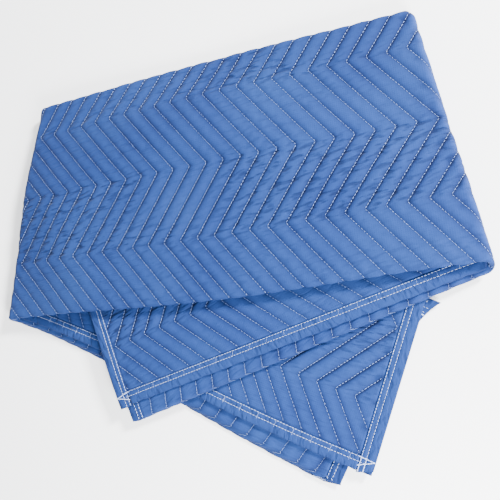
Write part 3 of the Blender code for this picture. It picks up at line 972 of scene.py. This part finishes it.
# One stitch for each row of (u, v, w, direction u, direction v, length, radius)
def stitches(name, rows, sides, rings):
    rows = np.array(rows)
    bm = bmesh.new()
    bmesh.ops.create_uvsphere(bm, u_segments=sides, v_segments=rings, radius=1.0)
    shape = np.array([vert.co for vert in bm.verts])
    corner, copy = bm.verts.layers.int.new("corner"), bm.verts.layers.int.new("copy")
    for index, vert in enumerate(bm.verts):
        vert[corner] = index
    count = 1
    while count < len(rows):
        doubled = bmesh.ops.duplicate(bm, geom=bm.verts[:] + bm.edges[:] + bm.faces[:])
        for vert in doubled["geom"]:
            if isinstance(vert, bmesh.types.BMVert):
                vert[copy] += count
        count *= 2
    spare = [vert for vert in bm.verts if vert[copy] >= len(rows)]
    bmesh.ops.delete(bm, geom=spare, context="VERTS")
    shape = shape[[vert[corner] for vert in bm.verts]]
    rows = rows[[vert[copy] for vert in bm.verts]]
    middle, normal = wrapCloth(rows[:, :3], half)
    reach = np.stack([rows[:, 3], rows[:, 4], 0 * rows[:, 3]], axis=1) * rows[:, 5:6] / 2
    along = wrapCloth(rows[:, :3] + reach, half)[0] - wrapCloth(rows[:, :3] - reach, half)[0]
    across = np.cross(normal, along)
    across *= rows[:, 6:7] / np.linalg.norm(across, axis=1, keepdims=True)
    up = normal * rows[:, 6:7]
    x, y, z = shape.T[:, :, None]
    mesh = finishMesh(bm, name)
    setPoints(mesh, middle + z * along / 2 + x * across + (y - stitching["sag"] * z * z) * up)
    return mesh


# Stitches along the lines of quilting, at the places that are wanted
def quiltStitches(wanted):
    rows = []
    perRow = stitching["quiltPerRow"]
    slackShare = stitching["slackRadius"]
    rng = np.random.default_rng(21)
    for line in range(-4, ceil(length / quilting["pitch"]) + 1):
        for zig in range(-1, 9):
            low = zigFirst + zig * quilting["row"]
            for i in range(perRow):
                v = low + (i + 0.5) / perRow * quilting["row"]
                u = float(zigzag(v)) + line * quilting["pitch"]
                if not wanted(u, v):
                    continue
                rise = float(zigzag(v + 1e-4) - zigzag(v - 1e-4)) / 2e-4
                du, dv = rise / np.hypot(rise, 1), 1 / np.hypot(rise, 1)
                jitter = rng.uniform(-stitching["uneven"], stitching["uneven"])
                level = float(outerFace(np.array([u]), np.array([v]))[0][0]) + stitching["stand"]
                run = stitching["quiltLength"] * (1 + jitter)
                thickness = slackShare + (1 - slackShare) * float(legShare(v))
                radius = stitching["quiltRadius"] * thickness
                rows.append((u, v, level, du + jitter * 0.1, dv - jitter * 0.1, run, radius))
    return rows


# Two rows of stitches along each of the four tapes
def tapeStitches():
    rows = []
    pitch = stitching["tapePitch"]
    level = tapeFace + stitching["stand"]
    for inset in (binding["innerRow"], binding["outerRow"]):
        for t in np.arange(0.004, length - 0.003, pitch):
            rows.append((t, inset, level, 1, 0))
            rows.append((t, width - inset, level, 1, 0))
        for t in np.arange(0.0, width, pitch):
            rows.append((inset, t, level, 0, 1))
            rows.append((length - inset, t, level, 0, 1))
    return [(*row, stitching["tapeLength"], stitching["tapeRadius"]) for row in rows]


# The level of a thread that lies on the tape: the hidden hem is pressed flat
def tapeLevel(u, v):
    side = min(u, length - u)
    t, inset = (v, side) if side < covered else (u, v)
    relief = tapeRelief(*(np.array([value]) for value in (t, inset, u, v)))
    return tapeFace + (float(relief[0]) if v < bottomEnd else 0.0) + stitching["stand"]


# A thread laid from one place on the tape to another, in short lengths
def laid(start, end, radius):
    start, end = np.array(start), np.array(end)
    run = np.linalg.norm(end - start)
    count = max(1, round(run / stitching["tapeLength"]))
    rows = []
    for i in range(count):
        u, v = start + (end - start) * (i + 0.5) / count
        rows.append((u, v, tapeLevel(u, v), *((end - start) / run), run / count * 1.25, radius))
    return rows


# Back-tacks: a V at both corners of the hem, two lines along the side tape at the corner of
# wing B, and a V at the hidden hem's corner, which sticks out
def tacks():
    outer, inner = binding["outerRow"], binding["innerRow"]
    tipA, tipB = (length - 0.0004, 0.0135), (0.0004, 0.0170)
    hiddenTip = (0.0004, width - 0.0215)
    rows = []
    for start, end in (
        ((length - 0.0215, inner), tipA),
        (tipA, (length - 0.0205, 0.0060)),
        ((0.0215, inner), tipB),
        (tipB, (0.0205, 0.0060)),
        ((outer, 0.0185), (outer, -0.0015)),
        ((inner, 0.0185), (inner, -0.0015)),
        ((0.0120, width - 0.0185), hiddenTip),
        ((0.0120, width - 0.0230), hiddenTip),
    ):
        rows += laid(start, end, stitching["tackRadius"])
    return rows


# Where the quilting thread crosses the hem: it shows more on wing B
def crossings():
    rows = []
    for line in range(-3, ceil(length / quilting["pitch"]) + 1):
        u = float(zigzag(0.0)) + line * quilting["pitch"]
        if 0.03 < u < length - 0.03:
            reach, share = (0.0085, 1.0) if u < lineAt[left] else (0.0125, 0.6)
            rows += laid((u, 0.0172), (u + 0.001, reach), stitching["tickRadius"] * share)
    return rows


def clearOfTape(u, v):
    return min(u, length - u, v, width - v) > binding["width"] + 0.001


# A stitch is in sight where the nearest face of the flat sheet is
sheetPlaces = KDTree(len(sight))
for index, (place, fromAbove, fromBelow) in enumerate(sight):
    sheetPlaces.insert((*place, 0), index)
sheetPlaces.balance()


def seenAbove(u, v):
    return sight[sheetPlaces.find((u, v, 0))[1]][1]


def seenBelow(u, v):
    place, fromAbove, fromBelow = sight[sheetPlaces.find((u, v, 0))[1]]
    return fromBelow and not fromAbove


def tapeSeen(u, v):
    middle = binding["width"] / 2
    u, v = min(max(u, middle), length - middle), min(max(v, middle), width - middle)
    return seenAbove(u, v) or seenBelow(u, v)


above = quiltStitches(lambda u, v: clearOfTape(u, v) and seenAbove(u, v))
below = quiltStitches(lambda u, v: clearOfTape(u, v) and seenBelow(u, v))
above += [row for row in crossings() if tapeSeen(row[0], row[1])]
onTape = [row for row in tapeStitches() + tacks() if tapeSeen(row[0], row[1])]
for name, rows, sides, rings, material in (
    ("quiltingThread", above, 6, 5, threadMaterial),
    ("undersideThread", below, 4, 3, threadMaterial),
    ("bindingThread", onTape, 6, 5, bindingThreadMaterial),
):
    newPiece(name, stitches(name, rows, sides, rings), material)
    print(name, len(rows), "stitches")


studio = {
    "floor": "#F4F5F7",
    "floorLevel": -0.0006,       # just clear of the underside
    "floorSize": 8.0,
    "floorRoughness": 0.7,
    "floorGlow": 1.1,            # lit from below, as a sweep for cut-out pictures is
    "world": 0.84,
    "key": {"place": (2.10, 1.42, 1.20), "size": 0.45, "power": 425.0},
    "fill": {"place": (0.66, -1.0, 0.62), "size": 0.5, "power": 68.0},
}


def areaLight(name, place, size, power):
    light = bpy.data.lights.new(name, "AREA")
    light.size = size
    light.energy = power
    lamp = bpy.data.objects.new(name, light)
    lamp.location = place
    lamp.rotation_euler = (-Vector(place)).to_track_quat("-Z", "Y").to_euler()
    bpy.context.scene.collection.objects.link(lamp)


# Matt white painted floor, with a glow of its own so that the shadows stay light
bm = bmesh.new()
bmesh.ops.create_grid(bm, x_segments=1, y_segments=1, size=studio["floorSize"] / 2)
bmesh.ops.translate(bm, vec=(0, 0, studio["floorLevel"]), verts=bm.verts)
floorMesh = bpy.data.meshes.new("studioFloor")
bm.to_mesh(floorMesh)
bm.free()
floorMaterial, _, _ = newMaterial("paintedFloor", {
    "Roughness": studio["floorRoughness"],
    "Base Color": linear(studio["floor"]),
    "Emission Color": linear(studio["floor"]),
    "Emission Strength": studio["floorGlow"],
})
floorMesh.materials.append(floorMaterial)
floor = bpy.data.objects.new("studioFloor", floorMesh)
bpy.context.scene.collection.objects.link(floor)
floor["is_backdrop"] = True
for name in ("key", "fill"):
    areaLight(name + "Light", **studio[name])
world = bpy.data.worlds.new("studio")
world.use_nodes = True
background = world.node_tree.nodes["Background"]
background.inputs["Color"].default_value = (1, 1, 1, 1)
background.inputs["Strength"].default_value = studio["world"]
bpy.context.scene.world = world
print("studio made")

camera = {
    "place": (0.27194, -0.06788, 0.67832),
    "turn": (4.62, 18.5, -6.49),     # degrees
    "lens": 37.44,
    "sensor": 36,
    "near": 0.01,
}
cameraData = bpy.data.cameras.new("camera")
cameraData.lens = camera["lens"]
cameraData.sensor_width = camera["sensor"]
cameraData.clip_start = camera["near"]
cameraObject = bpy.data.objects.new("camera", cameraData)
cameraObject.location = camera["place"]
cameraObject.rotation_euler = Euler([radians(a) for a in camera["turn"]])
bpy.context.scene.collection.objects.link(cameraObject)
bpy.context.scene.camera = cameraObject

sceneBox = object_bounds()
growth = [(sceneBox[1][i] - sceneBox[0][i]) - (cadBox[1][i] - cadBox[0][i]) for i in range(3)]
print("larger than the solids by", [round(amount, 4) for amount in growth])
